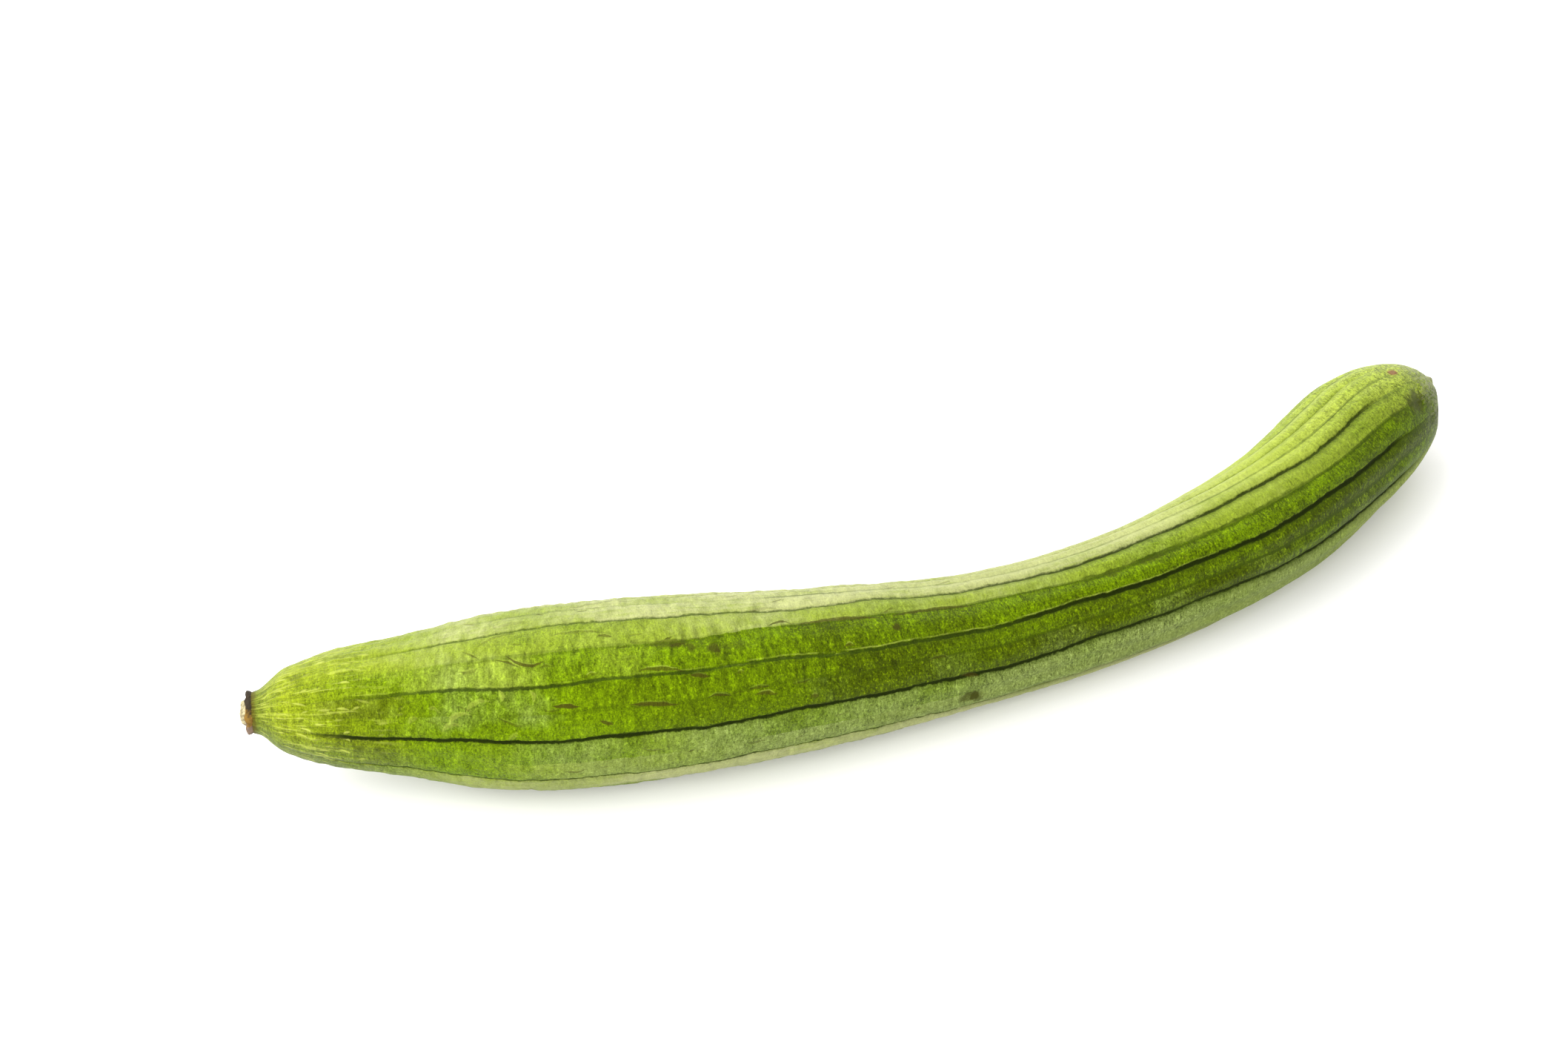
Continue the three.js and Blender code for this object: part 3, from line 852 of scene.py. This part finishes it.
    def neck_dashes(self, colour):
        """Pale dashes and darker furrows that run together on the neck."""
        round_neck = self.join(self.station, self.angle * 15.0, 0.0)
        dash, _, lot = scattered_marks(self, round_neck, DASH_CELL, 0.5, 0.45, 0.3)
        self.dash = dash * self.near_neck
        furrow = (0.5 - self.spokes).steps(0.0, 0.16) * self.near_neck
        colour = self.blend(colour, SHADE_AND_LINE_GREEN, furrow * 0.35)
        between_furrows = self.spokes.steps(0.55, 0.66) * self.near_neck
        colour = self.blend(colour, PALE_DASH_AND_HIGHLIGHT, between_furrows * 0.35)
        return self.blend(colour, PALE_DASH_AND_HIGHLIGHT, self.dash * (lot * 0.6 + 0.1))

    def soft_lines(self, colour):
        """The dark lines half way between two veins, partly painted shade in those valleys, and
        the painted shade below a vein.
        """
        before_tip = 1 - self.tip
        # Painted shade along the valleys half way between the veins, weaker on the pale panels.
        valley = (self.jagged * 0.05 - self.crest).steps(0.93, 1.0) * self.settled * before_tip
        valley = valley * (self.tail * 0.5 + self.broken * 0.7)
        valley = valley * (1 - self.tone.steps(0.5, 1.0) * 0.6) * self.angle.steps(*LOWEST_LINE)
        torn = self.between(*TORN_EDGE) * self.upward.steps(*TORN_ABOVE)
        edge_line = (self.jagged * 0.03 - self.crest).steps(0.96, 0.985) * torn
        on_waist = self.between(*UPPER_WAIST) * self.near_angle(UPPER_WAIST_LINE, 0.2, 0.35)
        waist_line = (self.jagged * 0.5 - self.crest).steps(0.85, 0.97) * on_waist
        line = valley.above(edge_line * self.broken * 1.2)
        line = line.above(waist_line * (self.broken * 1.3 + 0.25))
        colour = self.blend(colour, SHADE_AND_LINE_GREEN, line)
        seam = (self.jagged * 0.02 - self.crest).steps(0.985, 1.0) * self.broken.steps(0.45, 0.6)
        seam = seam * self.settled * (1 - self.tail * 0.6) * before_tip
        colour = self.blend(colour, SLIT_BROWN, seam * 0.6)
        # Painted shade below each vein, stronger in the tail.
        below = (0.2 - self.side * 3.0).steps(0.0, 1.0) * 0.75 + 0.25
        shaded = (1 - self.distance.steps(0.4, 3.2)) * (self.tail * 0.45 + 0.25) * below
        shaded = shaded * self.settled * before_tip * self.vein_dark
        return self.blend(colour, SHADE_AND_LINE_GREEN, shaded)

    def veins(self, colour):
        """The dark veins, with a highlight painted on their upper lips."""
        ended = 1 - (self.station + self.broken * 16.0).steps(*VEIN_END)
        visible = (self.station + self.broken * 20.0).steps(*VEIN_START) * ended
        run = (self.broken * 0.6 + self.streaks * 0.4).steps(0.42, 0.58)
        # Painted highlight along the lip just above a vein, in broken runs.
        beside = 1 - (self.distance - 0.95).size().steps(0.0, 0.45)
        lip = beside * (self.side * 5.0).steps(0.0, 0.6)
        lip = lip * (run * 0.6 + self.ragged.steps(0.48, 0.62) * 0.3) * visible * self.vein_lip
        lip = lip * (self.station.steps(*LIP_START) * 0.8 + 0.2)
        self.lip = lip * (1 - self.station.steps(*LIP_END) * 0.6)
        colour = self.blend(colour, LIP_HIGHLIGHT, self.lip * 0.65)
        thick = self.vein_width * (self.broken * 1.1 + 0.1) * 0.62
        edge = self.distance + (self.ragged - 0.5) * 1.5 - thick
        started = self.station.steps(*FAINT_VEIN_START) + self.vein_dark * 1.5 - 0.75
        self.vein = (1 - edge.steps(-0.2, 0.45)) * visible * started.steps(0.0, 1.0)
        darkness = (self.vein_dark + self.broken * 0.8 - 0.4).steps(0.2, 1.0)
        vein_colour = self.blend(VEIN_GREEN, VEIN_DARK, darkness)
        return self.blend(colour, vein_colour, self.vein * (self.vein_dark * 0.35 + 0.65))

    def slits_and_folds(self, colour):
        """Dry slits and folds with places of their own, and small ones near the soft lines."""
        wobble = self.noise(self.unbent, WOBBLE_SIZE, 2.0, 0.5, "Color")
        along_skin = {0: self.join(self.station, self.arc, 0.0), 1: wobble}
        swayed = self.add("ShaderNodeVectorMath", {"operation": "ADD"}, along_skin)
        swayed = self.shift(swayed, (-0.5, -0.5, 0.0))
        slit, slit_lip = placed_marks(self, swayed, SLITS, 1.0)
        fold, fold_shade = placed_marks(self, swayed, FOLDS, -1.0)
        small, small_lip, lot = scattered_marks(self, swayed, SMALL_CELL, 0.5, 0.48, 0.34)
        share = (0.35 - self.crest).steps(0.0, 1.2) * self.settled * (1 - self.tail * 0.85)
        share = share * (lot * 0.5 + 0.35)
        self.small, self.small_lip = small * share, small_lip * share
        # Painted highlights on the lips of the slits and of the small marks.
        colour = self.blend(colour, LIP_HIGHLIGHT, slit_lip.above(self.small_lip * 0.5) * 0.3)
        colour = self.blend(colour, SLIT_BROWN, slit.above(self.small))
        # Painted shade beside each fold, and a painted highlight on it.
        colour = self.blend(colour, SHADE_AND_LINE_GREEN, fold_shade * 0.45)
        return self.blend(colour, PALE_DASH_AND_HIGHLIGHT, fold * 0.28)

    def bruises_and_ends(self, colour):
        """Bruises, painted shade round the dents near the tip, a scab, and the two ends of the
        fruit.
        """
        blotched = self.clouds * 3.0 + self.patches - 2.0
        bruised_and_shaded = 0.0
        for *where, strength in BRUISES_AND_TIP_SHADE:
            bruised_and_shaded = spot(self, self.unbent, blotched, *where) * strength + bruised_and_shaded
        colour = self.blend(colour, BRUISE_AND_SHADE, bruised_and_shaded)
        colour = self.blend(colour, SCAB_RED, spot(self, self.unbent, blotched * 0.5, *SCAB))
        netted = (0.5 - self.grain).steps(0.0, 0.1) * (self.tip * 0.5 + self.late * 0.25)
        colour = self.blend(colour, SHADE_AND_LINE_GREEN, netted)
        fuzz = (self.station + self.spokes * 22.0).steps(*FUZZY) * self.ragged.steps(0.4, 0.6)
        colour = self.blend(colour, SCAR_GREY, fuzz * 0.9)
        scarred = self.station.steps(*AT_SCAR) * (self.ragged * 0.6 + 0.5)
        colour = self.blend(colour, SCAR_GREY, scarred)
        stained = 1 - (self.station + self.ragged * 3.0).steps(*AT_STALK)
        return self.blend(colour, STAIN_BROWN, stained * 0.8)

    def relief(self):
        """The height of the finish, in metres."""
        height = self.fine * FINE_RELIEF + self.grain * GRAIN_RELIEF
        height = height + self.wrinkles * WRINKLE_RELIEF * (self.belly + 0.2)
        height = height + self.spokes * self.near_neck * SPOKE_RELIEF + self.dash * DASH_RELIEF
        height = height + self.small_lip * SMALL_LIP_RELIEF - self.small * SMALL_SLIT_RELIEF
        height = height + self.lip * LIP_RELIEF - self.vein * VEIN_RELIEF
        return height * MM


def gourd_skin():
    skin = GourdSkin()
    colour = skin.painted_neck_shade(skin.greens())
    colour = skin.neck_dashes(skin.specks_and_grain(colour))
    colour = skin.veins(skin.soft_lines(colour))
    colour = skin.bruises_and_ends(skin.slits_and_folds(colour))
    roughness = SKIN_ROUGHNESS + skin.patches * 0.12 + skin.vein * 0.25 + skin.bloom_and_reflection * 0.2
    gloss = {"Specular IOR Level": SKIN_GLOSS, "Specular Tint": SHEEN_TINT}
    return skin.shade(colour, roughness, skin.relief(), gloss)


# ---------------------------------------- the other finishes

def dry_stalk():
    stalk = Finish("dry_stalk")
    place = stalk.attribute("unbent")
    out, _, upward = stalk.split(place)
    fibres = stalk.noise(stalk.stretch(place, (0.3, 1.0, 1.0)), 0.9, 4.0, 0.65)
    blotches = stalk.noise(place, 2.6, 3.0)
    height_up = upward + (blotches - 0.5) * 5.0
    colour = stalk.blend(OCHRE, DARK_BARK, height_up.steps(4.2, 5.6))
    colour = stalk.blend(colour, GREY_BARK, 1 - height_up.steps(-0.6, 1.2))
    streaked = (fibres * 0.5 + blotches * 0.5).steps(0.54, 0.66)
    colour = stalk.blend(colour, DARK_BARK, streaked * 0.6)
    cork = out.steps(2.1, 2.4)
    colour = stalk.blend(colour, stalk.blend(CORK_SHADE, CORK_PALE, fibres.steps(0.3, 0.7)), cork)
    colour = stalk.scale(colour, fibres + 0.5)
    height = (fibres * 0.6 + blotches * 0.3) * MM
    return stalk.shade(colour, blotches * 0.1 + 0.8, height, {"Specular IOR Level": 0.3})


def studio_white():
    white = Finish("studio_white")
    grain = white.noise(white.add("ShaderNodeTexCoord", out="Object"), 0.4, 1.0)
    colour = white.blend(FLOOR_DIM, FLOOR_BRIGHT, grain)
    glow = {"Emission Color": FLOOR_GLOW, "Emission Strength": FLOOR_GLOW_STRENGTH}
    return white.shade(colour, 0.9, grain * FLOOR_RELIEF, {"Specular IOR Level": 0.1, **glow})


# ---------------------------------------- the stalk

# The cut stalk's section as (radius, distance out from the fruit's end).
STALK_PROFILE = [
    (6.3, -0.6), (6.8, 0.1), (7.1, 0.6), (7.2, 1.1), (7.25, 1.6), (6.95, 1.95), (6.2, 2.05),
    (5.4, 1.85), (4.8, 1.9), (4.4, 2.3), (4.2, 2.8), (3.8, 3.4), (2.9, 3.9), (1.5, 4.15),
]
STALK_TIP = 4.25
STALK_SIDES = 96
STALK_STEPS = 4
STALK_LOBES = [(3, 1, 0.035), (7, 0, 0.02)]  # (how many, phase, share of the radius)
STALK_FIBRES, STALK_GRAIN, STALK_FACE = (1.8, 0.5), (0.8, 0.2), (3.0, 0.8)  # (size, height)


def make_stalk():
    profile = np.array(STALK_PROFILE)
    fine = np.linspace(0, len(profile) - 1, (len(profile) - 1) * STALK_STEPS + 1)
    radii = np.interp(fine, np.arange(len(profile)), profile[:, 0])
    outs = np.interp(fine, np.arange(len(profile)), profile[:, 1])
    around = np.linspace(0, 360, STALK_SIDES, endpoint=False)
    turn = np.broadcast_to(around, (len(fine), STALK_SIDES))
    round_angle = np.radians(turn)
    uneven = 1.0
    for count, phase, share in STALK_LOBES:
        uneven = uneven + share * np.sin(count * round_angle + phase)
    radius = radii[:, None] * uneven
    out = np.broadcast_to(outs[:, None], turn.shape)
    local = np.stack([out, -np.cos(round_angle) * radius, np.sin(round_angle) * radius], axis=-1)
    size, height = STALK_FIBRES
    radius = radius + height * lumps(local * [0.3, 1, 1], size, 21)
    size, height = STALK_GRAIN
    radius = radius + height * lumps(local, size, 22)
    size, height = STALK_FACE
    out = out + smoothstep(out, 0.6, 1.8) * height * lumps(local * [0, 1, 1], size, 23)
    rings = points_at(np.zeros_like(turn), turn, radius)
    heading = math.radians(HEADINGS[0][1])
    outwards = np.array([-math.cos(heading), -math.sin(heading), 0])
    rings = rings + out[..., None] * outwards
    centre = points_at(np.array([0.0]), np.array([0.0]), np.array([0.0]))[0]
    tip = centre + STALK_TIP * outwards
    base = centre + outs[0] * outwards
    attributes = {"unbent": local[::-1]}
    return skin_over_rings("gourd_stalk", rings[::-1], tip, base, attributes)


# ---------------------------------------- the studio

CAMERA_PLACE = (-0.0310, -0.9901, 0.8746)
CAMERA_ELEVATION = 40.0
LENS = 85.0
SENSOR = 36.0
FLOOR_HALF = 4.0
CAMERA_SEES_TO = 20.0
AIR_COLOUR = (1.0, 0.99, 0.97, 1.0)
AIR_STRENGTH = 0.62
# Each light's name, place, width, height and how bright it looks.
SOFTBOXES = [
    ("back_softbox", (-0.3, 1.5, 0.9), 3.2, 1.8, 1.9),
    ("top_softbox", (-0.8, 0.2, 1.5), 2.0, 1.6, 2.2),
    ("front_softbox", (-1.0, -1.6, 1.6), 2.4, 2.0, 5.2),
]


def make_camera():
    camera = bpy.data.objects.new("camera", bpy.data.cameras.new("camera"))
    camera.data.lens = LENS
    camera.data.sensor_width = SENSOR
    camera.data.clip_end = CAMERA_SEES_TO
    camera.location = CAMERA_PLACE
    camera.rotation_euler = (math.radians(90 - CAMERA_ELEVATION), 0, 0)
    bpy.context.scene.collection.objects.link(camera)
    bpy.context.scene.camera = camera


def make_floor():
    corners = [(-1, -1), (1, -1), (1, 1), (-1, 1)]
    points = [(FLOOR_HALF * x, FLOOR_HALF * y, 0.0) for x, y in corners]
    mesh = bpy.data.meshes.new("studio_floor")
    mesh.from_pydata(points, [], [(0, 1, 2, 3)])
    mesh.materials.append(studio_white())
    floor = bpy.data.objects.new("studio_floor", mesh)
    bpy.context.scene.collection.objects.link(floor)


def make_softbox(name, place, width, height, radiance):
    """A large flat light that faces the gourd. Its power follows from how bright it looks."""
    light = bpy.data.lights.new(name, "AREA")
    light.shape = "RECTANGLE"
    light.size = width
    light.size_y = height
    light.energy = radiance * math.pi * width * height
    lamp = bpy.data.objects.new(name, light)
    lamp.location = place
    lamp.rotation_euler = (-Vector(place)).to_track_quat("-Z", "Y").to_euler()
    bpy.context.scene.collection.objects.link(lamp)


def light_studio():
    world = bpy.data.worlds.new("studio_air")
    world.use_nodes = True
    air = world.node_tree.nodes["Background"]
    air.inputs["Color"].default_value = AIR_COLOUR
    air.inputs["Strength"].default_value = AIR_STRENGTH
    bpy.context.scene.world = world
    for softbox in SOFTBOXES:
        make_softbox(*softbox)
    bpy.context.scene.view_settings.view_transform = "Standard"


# ---------------------------------------- putting it together

def place(piece, node, material, slot):
    piece.data.materials.append(material)
    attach(piece, "root")
    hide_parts(node)


make_camera()
light_studio()
make_floor()
place(make_fruit(), "fruit", gourd_skin(), "skin")
place(make_stalk(), "stalk_stub", dry_stalk(), "dry_stalk")
